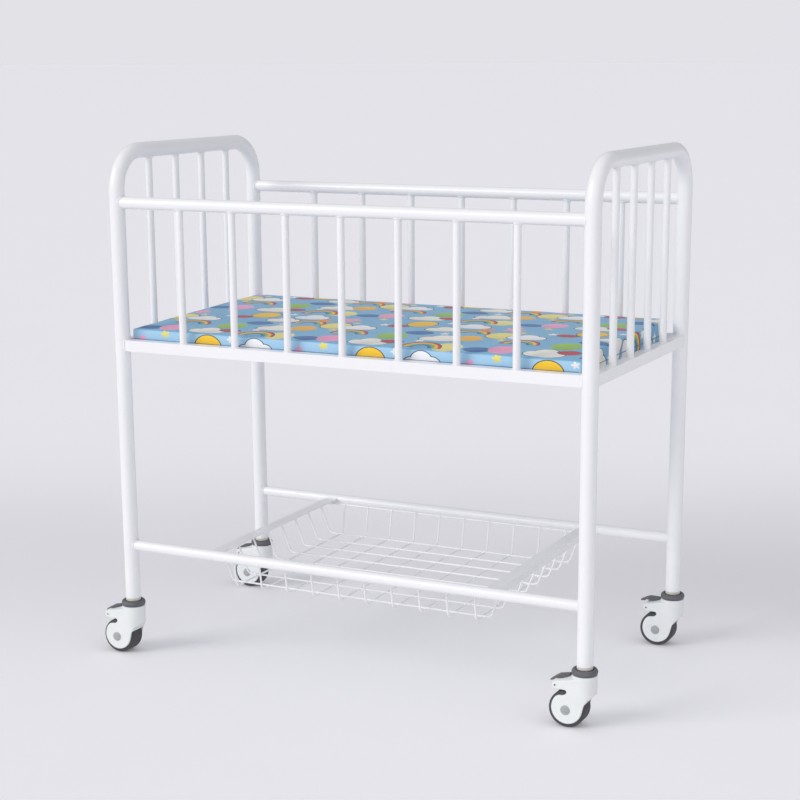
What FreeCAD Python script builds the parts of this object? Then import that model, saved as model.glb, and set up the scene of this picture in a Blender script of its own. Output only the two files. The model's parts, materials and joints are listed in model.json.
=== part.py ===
import FreeCAD, Part
import math
import os

# Hospital bassinet: a welded tube cot with barred sides, a wire basket and four braked casters.
# Millimetres. X runs from the head end to the foot end, Y from front to rear, Z up from the floor.
# The origin is on the floor, in the middle of the whole cot's footprint.

os.makedirs("parts", exist_ok=True)

Vector = FreeCAD.Vector

# Frame
legPitchX = 912.0  # between leg axes, head to foot
legPitchY = 476.0  # between leg axes, front to rear
legRadius = 14.0
tubeWall = 1.5
hoopTop = 942.0  # axis of the hoop's top bar
hoopBend = 70.0  # axis radius of the hoop's bends
legFoot = 109.0  # open lower end of the leg tubes

topRailRadius = 11.0
topRailHeight = 852.0
lowerRailRadius = 10.0
lowerRailHeight = 212.0
deckRailSide = 20.0  # square tube
deckRailHeight = 593.0
weldGap = 0.05  # between a tube's coped end and the tube it is welded to
railClear = 0.3  # keeps the square rails' corners apart
plugLip = 5.0  # height of a leg plug's lip under the tube

barRadius = 6.5
barWall = 1.0
sideBarCount = 7
sideBarPitch = 108.4
frontBarShift = 1.5  # the front bars' middle, from the frame's middle
rearBarShift = 11.0  # the rear bars stand a little nearer the foot end
endBarCount = 4
endBarPitch = 89.0

slatCount = 9
slatPitch = 100.0
slatWidth = 50.0
slatThickness = 2.0
deckTop = 590.0

# Mattress
mattressLength = 884.0
mattressWidth = 448.0
mattressTop = 630.0
mattressCorner = 12.0  # rounding of the upright edges
mattressEdge = 9.0  # rounding of the top and bottom edges
coverThickness = 1.0
softGap = 0.4  # round the foam and under the cover

# Wire basket
stripInner = 266.0  # from the frame's middle to a strip's inner edge
stripOuter = 291.0
stripTop = 215.0
stripFlange = 12.0  # height of the strip's folded edge
stripThickness = 2.0
rimWireRadius = 2.25
rimHalfLength = stripOuter - stripThickness - rimWireRadius  # against the strips' folded edges
basketWireRadius = 1.75
rimHalfWidth = 222.0
rimHeight = 206.0
basketFloor = 149.5  # axis of the cross wires on the floor
basketFloorHalfWidth = 208.0
basketBend = 10.0
wireGap = 0.02  # between wires that lie on each other
crossWireCount = 10
longWireCount = 8
basketWirePitch = 54.0
longWireFoot = 262.0  # where the long wires turn up at the ends

# Casters, which all trail towards the head end
trail = 26.0  # from the swivel axis to the axle
wheelRadius = 32.5
wheelWidth = 35.2
tyreInner = 25.0
tyreShoulder = 5.0  # rounding of the tread's edges
hubWidth = 34.0
hubBoss = 5.0  # wall of the hub's boss round the axle
hubRim = 4.0  # wall of the hub under the tyre
hubWebHalf = 3.0
axleRadius = 4.0
runningGap = 0.06  # radial, at the axle, the stem and the pedal's pin
cavityRadius = 34.6  # the housing's hollow round the wheel
cavityHalfWidth = 18.3
housingHalfWidth = 21.8
discRadius = 27.3  # the housing's round cheeks
discShift = (1.5, 3.0)  # X and Z from the axle to the middle of a cheek's round
discStart, discEnd = -36.0, -220.0  # degrees from +X towards +Z, round the cheek
cheekRounding = 2.0
waistPoints = [(40.5, 23.8), (34.0, 16.0), (30.0, 4.0)]  # X and Z from the axle, down under the neck
# X and Z from the axle, over the cheek's flat top and round the notch to the hood's lower edge
notchPoints = [(-12.6, 24.6), (-5.0, 25.6), (0.8, 30.2), (-4.0, 35.2)]
neckRadius = 21.8
neckTop = 93.5
neckFoot = 62.0  # where the waist begins at the front
neckRoot = 68.0  # the round neck starts inside the hood
hoodTop = 94.0  # where the hood's sloping top would meet the swivel axis
hoodSlope = 11.5  # degrees, down towards the back
hoodCrown = 60.0  # radius of the hood's top, across
hoodEnd = -6.0  # where the sloping top ends inside the neck, from the swivel axis
hoodBack = 51.5  # from the swivel axis
hoodCorner = 12.0
hoodChamfer = 4.7  # at the lower back corner
hoodWall = 3.0
roofThickness = 4.5
hollowFoot = 58.0
sideHoleX = -45.5  # the small hole through both sides of the hood
sideHoleHeight = 74.5
sideHoleRadius = 1.9
stemRadius = 5.5
stemFoot = 75.5
stemTop = 138.0
stemRing = 2.0  # height of the retaining ring at the stem's foot
stemFlange = 2.4  # height of the thrust flange
bushRadius = 8.5
bushFoot = 78.0
collarRadius = 22.5
collarFootRadius = 19.8
collarTop = 104.5
collarBore = 14.7
collarFloor = 5.0  # thickness under the leg's end
collarRoll = 3.5  # how far the collar's crest rolls down into the bore
capRadius = 8.5
capHeight = 2.5
capRim = 0.6

# Brake pedal, in its pressed place
pedalPinX = -26.5
pedalPinHeight = 85.0
pedalPinRadius = 1.5
pedalPinHalfLength = 13.0
pedalGap = 0.7  # over the hood
pedalRise = 3.2  # from the hood's top to the plate's back
pedalFront = -22.0  # where the plate would end but for the hollow edge
pedalCrown = 36.0  # radius of the plate's rounded back
pedalRoot = 25.2  # radius of the hollow edge that faces the collar
pedalHalfWidth = 14.0
pedalReach = 61.5  # from the swivel axis to the tip
pedalRaise = 12.0  # degrees from pressed to raised
# run back from the front, share of the half width
pedalEdge = [(0.0, 0.4), (7.0, 0.8), (15.0, 1.0), (24.0, 0.9), (33.0, 0.55)]
pedalBend = -42.0  # where the plate begins to curve down
pedalBack = [(-50.0, 84.2), (-56.0, 80.4)]  # X and Z, down the curve's top
pedalTip = (74.6, 76.6)  # lower and upper edge of the tip
tipSlant = 0.5  # the tip's lower edge stands this far in
pedalTurn = 150.0  # degrees, where the plate's underside leaves the hood's corner
lobeRoot = 0.6  # how far the lobe stands up in the plate
lobeFront, lobeBack = 1.5, -4.0  # along X from the pin
lobeKnee = 3.0  # under the pin, where the lobe's front begins to slant
lobeHeel = 6.0  # height of the slanted heel
lobeFoot = 65.7  # the brake's lobe, just clear of the tread
lobeHalfWidth = 5.8
lobeTip = (-2.3, 1.3)  # the lobe's flat foot, along X from the pin
slotHalfWidth = 6.3  # the roof's slot for the lobe
slotFront, slotBack = 2.5, -9.0  # along X from the pin

# The casters reach further out at the head end, so the frame stands off the middle of the footprint.
middleX = (pedalReach - collarRadius) / 2
ends = {"head": middleX - legPitchX / 2, "foot": middleX + legPitchX / 2}
sides = {"front": -legPitchY / 2, "rear": legPitchY / 2}
deckRailTop = deckRailHeight + deckRailSide / 2


def save(name, shape):
    shape.exportStep("parts/" + name + ".step")
    print(name, len(shape.Solids), round(shape.Volume / 1000, 2), "cm3")


def cylinder(radius, start, along):
    return Part.makeCylinder(radius, along.Length, start, along)


def box(low, high):
    size = high - low
    return Part.makeBox(size.x, size.y, size.z, low)


def tube(radius, wall, start, along):
    return cylinder(radius, start, along).cut(cylinder(radius - wall, start, along))


def legCore(endX, sideY):
    return cylinder(legRadius + weldGap, Vector(endX, sideY, 0), Vector(0, 0, hoopTop))


def bentPath(points, bend):
    # straight runs between the points, with a tangent arc of one radius at each turn
    edges = []
    start = points[0]
    for before, corner, after in zip(points, points[1:], points[2:]):
        into = (before - corner).normalize()
        out = (after - corner).normalize()
        half = into.getAngle(out) / 2
        setback = bend / math.tan(half)
        middle = corner + (into + out).normalize() * (bend / math.sin(half) - bend)
        edges.append(Part.makeLine(start, corner + into * setback))
        edges.append(Part.Arc(corner + into * setback, middle, corner + out * setback).toShape())
        start = corner + out * setback
    edges.append(Part.makeLine(start, points[-1]))
    return Part.Wire(edges)


def swept(path, radius):
    first = path.Edges[0]
    start = first.valueAt(first.FirstParameter)
    circle = Part.Wire([Part.makeCircle(radius, start, first.tangentAt(first.FirstParameter))])
    return path.makePipeShell([circle], True, False)


def prism(outline, low, high):
    # a flat outline in the X-Z plane, pushed through from y = low to y = high
    face = Part.Face(outline)
    face.translate(Vector(0, low, 0))
    return face.extrude(Vector(0, high - low, 0))


def turned(outline, centre, axis):
    # an outline of radius and height, turned about an axis through the centre
    shape = Part.Face(outline).revolve(Vector(0, 0, 0), Vector(0, 0, 1), 360)
    shape.Placement = FreeCAD.Placement(centre, FreeCAD.Rotation(Vector(0, 0, 1), axis))
    return shape


def polygon(pairs):
    # radius and height, or X and Z, as a closed outline in the X-Z plane
    points = [Vector(x, 0, z) for x, z in pairs]
    return Part.makePolygon(points + [points[0]])


def endHoop(endX):
    front, rear = sides["front"], sides["rear"]
    corners = [(front, legFoot), (front, hoopTop), (rear, hoopTop), (rear, legFoot)]
    path = bentPath([Vector(endX, y, z) for y, z in corners], hoopBend)
    return swept(path, legRadius).cut(swept(path, legRadius - tubeWall))


def squareTube(low, high, along):
    wall = Vector(tubeWall, tubeWall, tubeWall)
    inside = wall - along * tubeWall
    return box(low, high).cut(box(low + inside, high - inside))


def sideDeckRail(sideY):
    half = deckRailSide / 2
    clear = half + railClear
    low = Vector(ends["head"] + clear, sideY - half, deckRailHeight - half)
    high = Vector(ends["foot"] - clear, sideY + half, deckRailHeight + half)
    rail = squareTube(low, high, Vector(1, 0, 0))
    return rail.cut(legCore(ends["head"], sideY)).cut(legCore(ends["foot"], sideY))


def endDeckRail(endX):
    half = deckRailSide / 2
    clear = half + railClear
    low = Vector(endX - half, sides["front"] + clear, deckRailHeight - half)
    high = Vector(endX + half, sides["rear"] - clear, deckRailHeight + half)
    rail = squareTube(low, high, Vector(0, 1, 0))
    return rail.cut(legCore(endX, sides["front"])).cut(legCore(endX, sides["rear"]))


def sideRail(sideY, height, radius):
    start = Vector(ends["head"], sideY, height)
    rail = tube(radius, tubeWall, start, Vector(legPitchX, 0, 0))
    return rail.cut(legCore(ends["head"], sideY)).cut(legCore(ends["foot"], sideY))


def sideBars(sideY, shift):
    start = Vector(ends["head"], sideY, topRailHeight)
    rail = cylinder(topRailRadius + weldGap, start, Vector(legPitchX, 0, 0))
    up = Vector(0, 0, topRailHeight - deckRailTop)
    bars = []
    for index in range(sideBarCount):
        x = middleX + shift + (index - (sideBarCount - 1) / 2) * sideBarPitch
        bar = tube(barRadius, barWall, Vector(x, sideY, deckRailTop), up)
        bars.append(bar.cut(rail))
    return Part.makeCompound(bars)


def endBars(endX):
    start = Vector(endX, sides["front"], hoopTop)
    topBar = cylinder(legRadius + weldGap, start, Vector(0, legPitchY, 0))
    up = Vector(0, 0, hoopTop - deckRailTop)
    bars = []
    for index in range(endBarCount):
        y = (index - (endBarCount - 1) / 2) * endBarPitch
        bar = tube(barRadius, barWall, Vector(endX, y, deckRailTop), up)
        bars.append(bar.cut(topBar))
    return Part.makeCompound(bars)


def deckSlats():
    reach = sides["rear"] - deckRailSide / 2
    slats = []
    for index in range(slatCount):
        x = middleX + (index - (slatCount - 1) / 2) * slatPitch
        low = Vector(x - slatWidth / 2, -reach, deckTop - slatThickness)
        slats.append(box(low, Vector(x + slatWidth / 2, reach, deckTop)))
    return Part.makeCompound(slats)


def upright(edge):
    along = edge.valueAt(edge.LastParameter) - edge.valueAt(edge.FirstParameter)
    return abs(along.z) > 0.99 * along.Length


def cushion(inset, under):
    # a block with rounded upright corners, then rounded top and bottom edges
    half = Vector(mattressLength / 2 - inset, mattressWidth / 2 - inset, 0)
    low = Vector(middleX - half.x, -half.y, under + inset)
    block = box(low, Vector(middleX + half.x, half.y, mattressTop - inset))
    block = block.makeFillet(mattressCorner - inset, [edge for edge in block.Edges if upright(edge)])
    level = [edge for edge in block.Edges if not upright(edge)]
    return block.makeFillet(mattressEdge - inset, level)


def mattress():
    under = deckTop + softGap
    cover = cushion(0, under).cut(cushion(coverThickness, under))
    return cover, cushion(coverThickness + softGap, under)


def basketEndStrips():
    strips = []
    for direction in (-1, 1):
        # a top flange, with the outer edge folded down
        outline = [(stripInner, stripTop), (stripOuter, stripTop), (stripOuter, stripTop - stripFlange),
                   (stripOuter - stripThickness, stripTop - stripFlange),
                   (stripOuter - stripThickness, stripTop - stripThickness),
                   (stripInner, stripTop - stripThickness)]
        reach = sides["rear"] - lowerRailRadius + 1
        strip = prism(polygon([(middleX + direction * x, z) for x, z in outline]), -reach, reach)
        for sideY in sides.values():
            start = Vector(ends["head"], sideY, lowerRailHeight)
            strip = strip.cut(cylinder(lowerRailRadius + weldGap, start, Vector(legPitchX, 0, 0)))
        strips.append(strip)
    return Part.makeCompound(strips)


def basketRimWire():
    # a closed rectangle of wire with rounded corners
    x, y, bend = rimHalfLength, rimHalfWidth, basketBend
    corners = [(0, -y), (x, -y), (x, y), (-x, y), (-x, -y), (0, -y)]
    path = bentPath([Vector(middleX + a, b, rimHeight) for a, b in corners], bend)
    return swept(path, rimWireRadius)


def wirePitches(count):
    return [(index - (count - 1) / 2) * basketWirePitch for index in range(count)]


def basketCrossWires():
    top = rimHalfWidth - rimWireRadius - basketWireRadius
    foot = basketFloorHalfWidth
    corners = [(-top, rimHeight), (-foot, basketFloor), (foot, basketFloor), (top, rimHeight)]
    wires = []
    for x in wirePitches(crossWireCount):
        path = bentPath([Vector(middleX + x, y, z) for y, z in corners], basketBend)
        wires.append(swept(path, basketWireRadius))
    return Part.makeCompound(wires)


def basketLongWires():
    top = rimHalfLength - rimWireRadius - basketWireRadius
    floor = basketFloor + 2 * basketWireRadius + wireGap
    corners = [(-top, rimHeight), (-longWireFoot, floor), (longWireFoot, floor), (top, rimHeight)]
    wires = []
    for y in wirePitches(longWireCount):
        path = bentPath([Vector(middleX + x, y, z) for x, z in corners], basketBend)
        wires.append(swept(path, basketWireRadius))
    return Part.makeCompound(wires)


def legPlug(foot):
    # a lip under the leg's end and a body up its bore, drilled for the stem
    lip = Vector(0, 0, plugLip)
    body = cylinder(legRadius - tubeWall, foot, Vector(0, 0, stemTop - legFoot))
    plug = cylinder(legRadius, foot - lip, lip).fuse(body)
    drill = cylinder(stemRadius, foot - lip, Vector(0, 0, stemTop))
    return plug.cut(drill).removeSplitter()


def casterStem(swivel):
    # a plain stem with a retaining ring under the bush and a thrust flange over it
    foot = swivel + Vector(0, 0, stemFoot)
    stem = cylinder(stemRadius, foot, Vector(0, 0, stemTop - stemFoot))
    ring = cylinder(bushRadius - 1, foot, Vector(0, 0, stemRing))
    seat = swivel + Vector(0, 0, neckTop + 2 * weldGap)
    flange = cylinder(bushRadius + 1, seat, Vector(0, 0, stemFlange))
    return stem.fuse(ring).fuse(flange).removeSplitter()


def arc(centre, radius, start, middle, end):
    # an arc in the X-Z plane through three angles, in degrees from +X towards +Z
    points = []
    for angle in (start, middle, end):
        turn = math.radians(angle)
        points.append(centre + Vector(radius * math.cos(turn), 0, radius * math.sin(turn)))
    return Part.Arc(*points).toShape()


def edgeEnds(edge):
    return edge.valueAt(edge.FirstParameter), edge.valueAt(edge.LastParameter)


def hoodLine(x, rise):
    # a point over the hood's sloping top, at one x and a height along the top's normal
    slope = math.radians(hoodSlope)
    return Vector(x, 0, hoodTop + x * math.tan(slope) + rise / math.cos(slope))


def hoodEdges(inset, low, front):
    # the hood's back, rounded corner and sloping top, moved inwards, from a low point to a front one
    radius = hoodCorner - inset
    centre = hoodLine(hoodCorner - hoodBack, -hoodCorner)
    corner = arc(centre, radius, 180, 135 + hoodSlope / 2, 90 + hoodSlope)
    cornerLow, cornerHigh = edgeEnds(corner)
    back = Part.makeLine(Vector(cornerLow.x, 0, low), cornerLow)
    return [back, corner, Part.makeLine(cornerHigh, hoodLine(front, -inset))]


def hoodBlock(inset, low, front, halfWidth):
    # the hood's side view as a block, with a level foot and an upright front
    back, corner, top = hoodEdges(inset, low, front)
    backLow, topEnd = edgeEnds(back)[0], edgeEnds(top)[1]
    foot = Vector(front, 0, low)
    edges = [back, corner, top, Part.makeLine(topEnd, foot), Part.makeLine(foot, backLow)]
    return prism(Part.Wire(edges), -halfWidth, halfWidth)


def crownSolid(radius, rise):
    # a round bar along the hood's slope, whose back is a height over the hood's top
    slope = math.radians(hoodSlope)
    along = Vector(math.cos(slope), 0, math.sin(slope))
    normal = Vector(-math.sin(slope), 0, math.cos(slope))
    start = Vector(0, 0, hoodTop) + normal * (rise - radius) - along * 2 * hoodBack
    return cylinder(radius, start, along * 4 * hoodBack)


def housingOutline():
    # the round cheek, its flat top, the notch behind it, the hood, and the waist under the neck
    axle = Vector(-trail, 0, wheelRadius)
    disc = arc(axle + Vector(discShift[0], 0, discShift[1]), discRadius, discStart,
               (discStart + discEnd) / 2, discEnd)
    waistFoot, discTop = edgeEnds(disc)
    waistTop = Vector(neckRadius + 1, 0, neckFoot)
    waist = Part.BSplineCurve()
    waist.interpolate([waistTop] + [axle + Vector(x, 0, z) for x, z in waistPoints] + [waistFoot],
                      InitialTangent=Vector(-1, 0, -1), FinalTangent=disc.tangentAt(disc.FirstParameter))
    notch = Part.BSplineCurve()
    notchEnd = [axle + Vector(x, 0, z) for x, z in notchPoints]
    notch.interpolate([discTop] + notchEnd, InitialTangent=disc.tangentAt(disc.LastParameter),
                      FinalTangent=Vector(-1, 0, 0))
    hoodFoot = notchEnd[-1].z
    hood = hoodEdges(0, hoodFoot + hoodChamfer, hoodEnd)
    hoodLow, topEnd = edgeEnds(hood[0])[0], edgeEnds(hood[2])[1]
    lower = [notchEnd[-1], Vector(-hoodBack + hoodChamfer, 0, hoodFoot), hoodLow]
    upper = [topEnd, Vector(waistTop.x, 0, topEnd.z), waistTop]
    edges = [disc, waist.toShape(), notch.toShape()] + hood
    for points in (lower, upper):
        edges += [Part.makeLine(a, b) for a, b in zip(points, points[1:])]
    return Part.Wire(Part.__sortEdges__(edges))


def housing():
    up = Vector(0, 0, 1)
    across = Vector(0, 4 * housingHalfWidth, 0)
    body = prism(housingOutline(), -housingHalfWidth, housingHalfWidth).common(crownSolid(hoodCrown, 0))
    rims = [edge for edge in body.Edges if abs(edge.CenterOfMass.y) > housingHalfWidth - 0.1]
    body = body.makeFillet(cheekRounding, rims)
    # the front follows the round neck all the way down the waist
    rear = box(Vector(-2 * hoodBack, -across.y, 0), Vector(0, across.y, neckTop))
    body = body.common(rear.fuse(cylinder(neckRadius, Vector(0, 0, 0), up * neckTop)))
    body = body.fuse(cylinder(neckRadius, up * neckRoot, up * (neckTop - neckRoot)))
    axle = Vector(-trail, 0, wheelRadius)
    cavity = Vector(0, 2 * cavityHalfWidth, 0)
    body = body.cut(cylinder(cavityRadius, axle - cavity / 2, cavity))
    body = body.cut(hoodBlock(roofThickness, hollowFoot, hoodWall - neckRadius, cavityHalfWidth))
    slotLow = Vector(pedalPinX + slotBack, -slotHalfWidth, hollowFoot)
    body = body.cut(box(slotLow, Vector(pedalPinX + slotFront, slotHalfWidth, hoodTop)))
    body = body.cut(cylinder(bushRadius, up * (stemFoot - 3), up * neckTop))
    body = body.cut(cylinder(axleRadius, axle - across / 2, across))
    body = body.cut(cylinder(sideHoleRadius, Vector(sideHoleX, 0, sideHoleHeight) - across / 2, across))
    return body.cut(pedalPin()).removeSplitter()


def stemBush():
    bush = cylinder(bushRadius, Vector(0, 0, bushFoot), Vector(0, 0, neckTop - bushFoot))
    return bush.cut(cylinder(stemRadius + runningGap, Vector(0, 0, 0), Vector(0, 0, collarTop)))


def collar():
    # a puffed ring on the neck, with a recess in which the leg's end turns freely
    bore = bushRadius + 2
    foot = neckTop + weldGap
    crest = Vector((collarRadius + collarBore) / 2, 0, collarTop)
    floor = foot + collarFloor
    footEdge = Vector(collarFootRadius, 0, foot)
    outer = Part.Arc(footEdge, Vector(collarRadius, 0, floor), crest)
    rollEnd = Vector(collarBore, 0, collarTop - collarRoll)
    rollMiddle = Vector(collarBore + 0.3 * collarRoll, 0, collarTop - 0.3 * collarRoll)
    inner = Part.Arc(crest, rollMiddle, rollEnd)
    steps = [(collarBore, floor), (bore, floor), (bore, foot)]
    points = [rollEnd] + [Vector(x, 0, z) for x, z in steps] + [footEdge]
    edges = [outer.toShape(), inner.toShape()]
    edges += [Part.makeLine(a, b) for a, b in zip(points, points[1:])]
    return turned(Part.Wire(Part.__sortEdges__(edges)), Vector(0, 0, 0), Vector(0, 0, 1))


def wheelAxle():
    half = housingHalfWidth - 0.1
    return cylinder(axleRadius, Vector(-trail, -half, wheelRadius), Vector(0, 2 * half, 0))


def axleCaps():
    # a thin disc with a shallow dome on it, over each end of the axle
    rise = capHeight - capRim
    domeRadius = (capRadius ** 2 + rise ** 2) / (2 * rise)
    caps = []
    for direction in (-1, 1):
        out = Vector(0, direction, 0)
        face = Vector(-trail, 0, wheelRadius) + out * (housingHalfWidth + weldGap)
        sphere = Part.makeSphere(domeRadius, face + out * (capHeight - domeRadius))
        caps.append(cylinder(capRadius, face, out * capHeight).common(sphere))
    return Part.makeCompound(caps)


def hub():
    # a boss on the axle, a web and a rim
    bore = axleRadius + runningGap
    half, boss, rim, web = hubWidth / 2, bore + hubBoss, tyreInner - weldGap, hubWebHalf
    well = rim - hubRim
    right = [(bore, half), (boss, half), (boss, web), (well, web), (well, half), (rim, half)]
    outline = polygon(right + [(r, -h) for r, h in reversed(right)])
    return turned(outline, Vector(-trail, 0, wheelRadius), Vector(0, 1, 0))


def tyre():
    half = wheelWidth / 2
    outline = polygon([(tyreInner, -half), (wheelRadius, -half), (wheelRadius, half), (tyreInner, half)])
    ring = turned(outline, Vector(-trail, 0, wheelRadius), Vector(0, 1, 0))
    tread = [edge for edge in ring.Edges if isCircle(edge) and edge.Curve.Radius > wheelRadius - 0.1]
    return ring.makeFillet(tyreShoulder, tread)


def isCircle(edge):
    return isinstance(edge.Curve, Part.Circle)


def pedalPin():
    start = Vector(pedalPinX, -pedalPinHalfLength, pedalPinHeight)
    return cylinder(pedalPinRadius, start, Vector(0, 2 * pedalPinHalfLength, 0))


def pedalSide():
    # the plate's side view: over the hood, then curved down past the hood's back corner
    lowTip, highTip = pedalTip
    tipLow = Vector(tipSlant - pedalReach, 0, lowTip)
    tipHigh = Vector(-pedalReach, 0, highTip)
    bendStart = hoodLine(pedalBend, pedalRise)
    bend = Part.BSplineCurve()
    bend.interpolate([bendStart] + [Vector(x, 0, z) for x, z in pedalBack] + [tipHigh])
    corner = hoodLine(hoodCorner - hoodBack, -hoodCorner)
    turn = math.radians(pedalTurn)
    leave = corner + Vector(math.cos(turn), 0, math.sin(turn)) * (hoodCorner + pedalGap)
    points = [tipHigh, tipLow, leave, corner, hoodLine(pedalFront, -hoodCorner / 2),
              hoodLine(pedalFront, pedalRise), bendStart]
    edges = [bend.toShape()] + [Part.makeLine(a, b) for a, b in zip(points, points[1:])]
    return Part.Wire(Part.__sortEdges__(edges))


def pedalPlan():
    # the plate's leaf shape from above, as a thick block
    edge = [(pedalFront - back, share * pedalHalfWidth) for back, share in pedalEdge]
    points = [Vector(x, -y, 0) for x, y in edge] + [Vector(-pedalReach, 0, 0)]
    points += [Vector(x, y, 0) for x, y in reversed(edge)]
    leaf = Part.BSplineCurve()
    leaf.interpolate(points)
    outline = Part.Wire([leaf.toShape(), Part.makeLine(points[-1], points[0])])
    return Part.Face(outline).extrude(Vector(0, 0, 2 * hoodTop))


def brakePedal(raised):
    plate = prism(pedalSide(), -pedalHalfWidth - 1, pedalHalfWidth + 1).common(pedalPlan())
    plate = plate.cut(cylinder(pedalRoot, Vector(0, 0, 0), Vector(0, 0, 2 * hoodTop)))
    plate = plate.common(crownSolid(pedalCrown, pedalRise))
    under = hoodBlock(-pedalGap, hollowFoot, 0, 2 * pedalHalfWidth)
    plate = plate.cut(under.common(crownSolid(hoodCrown + pedalGap, pedalGap)))
    x, z = pedalPinX, pedalPinHeight
    top = hoodLine(x, pedalGap + lobeRoot).z
    tipBack, tipFront = lobeTip
    heel = (x + 2 * tipBack, lobeFoot + lobeHeel)
    lobe = polygon([(x + lobeBack, top), (x + lobeFront, top), (x + lobeFront, z - lobeKnee),
                    (x + tipFront, lobeFoot), (x + tipBack, lobeFoot), heel])
    pedal = plate.fuse(prism(lobe, -lobeHalfWidth, lobeHalfWidth))
    across = Vector(0, 2 * housingHalfWidth, 0)
    pinHole = cylinder(pedalPinRadius + runningGap, Vector(x, 0, z) - across / 2, across)
    pedal = pedal.cut(pinHole).removeSplitter()
    if raised:
        pedal.rotate(Vector(x, 0, z), Vector(0, 1, 0), pedalRaise)
    return pedal


def saveFrame():
    for end, endX in ends.items():
        save(end + "_end_hoop", endHoop(endX))
        save(end + "_deck_rail", endDeckRail(endX))
        save(end + "_end_bars", endBars(endX))
    for side, shift in (("front", frontBarShift), ("rear", rearBarShift)):
        sideY = sides[side]
        save(side + "_top_rail", sideRail(sideY, topRailHeight, topRailRadius))
        save(side + "_lower_rail", sideRail(sideY, lowerRailHeight, lowerRailRadius))
        save(side + "_deck_rail", sideDeckRail(sideY))
        save(side + "_side_bars", sideBars(sideY, shift))
    save("deck_slats", deckSlats())
    feet = [Vector(endX, sideY, legFoot) for endX in ends.values() for sideY in sides.values()]
    save("leg_plugs", Part.makeCompound([legPlug(foot) for foot in feet]))
    save("caster_stems", Part.makeCompound([casterStem(Vector(foot.x, foot.y, 0)) for foot in feet]))


def saveBasket():
    save("basket_end_strips", basketEndStrips())
    save("basket_rim_wire", basketRimWire())
    save("basket_cross_wires", basketCrossWires())
    save("basket_long_wires", basketLongWires())


def saveMattress():
    cover, core = mattress()
    save("mattress_cover", cover)
    save("mattress_core", core)


def saveCaster(side, end):
    # the rear foot-end caster is the one left unlocked, with its pedal raised
    raised = (side, end) == ("rear", "foot")
    pieces = {
        "housing": housing(), "stem_bush": stemBush(), "collar": collar(), "axle": wheelAxle(),
        "axle_caps": axleCaps(), "hub": hub(), "tyre": tyre(), "pedal_pin": pedalPin(),
        "brake_pedal": brakePedal(raised),
    }
    for name, shape in pieces.items():
        shape.translate(Vector(ends[end], sides[side], 0))
        save(side + "_" + end + "_" + name, shape)


saveFrame()
saveBasket()
saveMattress()
for side in sides:
    for end in ends:
        saveCaster(side, end)
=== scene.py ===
import json
import math

import bmesh
import bpy
import numpy as np
from mathutils import Matrix, Vector


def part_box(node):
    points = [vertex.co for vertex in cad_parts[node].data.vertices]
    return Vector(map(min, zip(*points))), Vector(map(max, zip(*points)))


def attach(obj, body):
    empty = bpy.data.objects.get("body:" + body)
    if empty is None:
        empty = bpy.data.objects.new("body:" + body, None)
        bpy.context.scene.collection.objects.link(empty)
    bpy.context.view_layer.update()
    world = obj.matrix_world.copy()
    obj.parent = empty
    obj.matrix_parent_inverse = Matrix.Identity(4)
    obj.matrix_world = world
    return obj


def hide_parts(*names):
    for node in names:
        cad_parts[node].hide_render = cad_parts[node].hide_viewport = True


# Ward bassinet: the welded tube cot dressed with paint, weld beads, moulded casters and a printed mattress.
# Metres, in the same frame as the solids.

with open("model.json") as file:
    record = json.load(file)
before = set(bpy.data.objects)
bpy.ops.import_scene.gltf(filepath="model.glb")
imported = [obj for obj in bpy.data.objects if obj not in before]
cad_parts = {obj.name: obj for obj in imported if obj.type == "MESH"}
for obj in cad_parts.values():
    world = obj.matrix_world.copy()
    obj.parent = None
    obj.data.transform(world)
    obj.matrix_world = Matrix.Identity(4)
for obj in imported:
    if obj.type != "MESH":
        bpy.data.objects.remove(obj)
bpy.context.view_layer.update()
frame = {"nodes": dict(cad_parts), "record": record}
nodes = frame["nodes"]
print("stage: frame loaded,", len(nodes), "nodes")


# Surfaces from arrays

fullTurn = 2 * math.pi
xAxis, yAxis, zAxis = np.eye(3)


def ringAngles(count):
    return np.linspace(0, fullTurn, count, endpoint=False)


def ringFaces(rings, around, looped):
    # quads between neighbouring rings of points, counted ring by ring; if looped, the last meets the first
    ring = np.arange(rings if looped else rings - 1)[:, None]
    point = np.arange(around)[None, :]
    nextRing, nextPoint = (ring + 1) % rings, (point + 1) % around
    corners = [ring * around + point, ring * around + nextPoint, nextRing * around + nextPoint,
               nextRing * around + point]
    return np.stack(corners, -1).reshape(-1, 4)


def newPiece(name, points, *faceGroups, smooth=True):
    # each group of faces is an array with one row of corners for each face
    mesh = bpy.data.meshes.new(name)
    mesh.vertices.add(len(points))
    corners = np.concatenate([group.ravel() for group in faceGroups])
    widths = np.concatenate([np.full(len(group), group.shape[1]) for group in faceGroups])
    mesh.loops.add(len(corners))
    mesh.loops.foreach_set("vertex_index", corners.astype(np.int32))
    mesh.polygons.add(len(widths))
    mesh.polygons.foreach_set("loop_start", (np.cumsum(widths) - widths).astype(np.int32))
    mesh.polygons.foreach_set("use_smooth", np.full(len(widths), smooth))
    mesh.update(calc_edges=True)
    putPoints(mesh, points)
    piece = bpy.data.objects.new(name, mesh)
    bpy.context.scene.collection.objects.link(piece)
    return piece


def pointsOf(mesh):
    flat = np.empty(len(mesh.vertices) * 3, np.float32)
    mesh.vertices.foreach_get("co", flat)
    return flat.reshape(-1, 3).astype(float)


def putPoints(mesh, points):
    mesh.vertices.foreach_set("co", np.asarray(points, np.float32).ravel())
    mesh.update()


def boxCorners(node):
    low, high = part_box(node)
    return np.array(low), np.array(high)


def middleAndHalf(node, axis):
    low, high = boxCorners(node)
    return (low + high) / 2, (high - low)[axis] / 2


# Shader arithmetic

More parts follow.
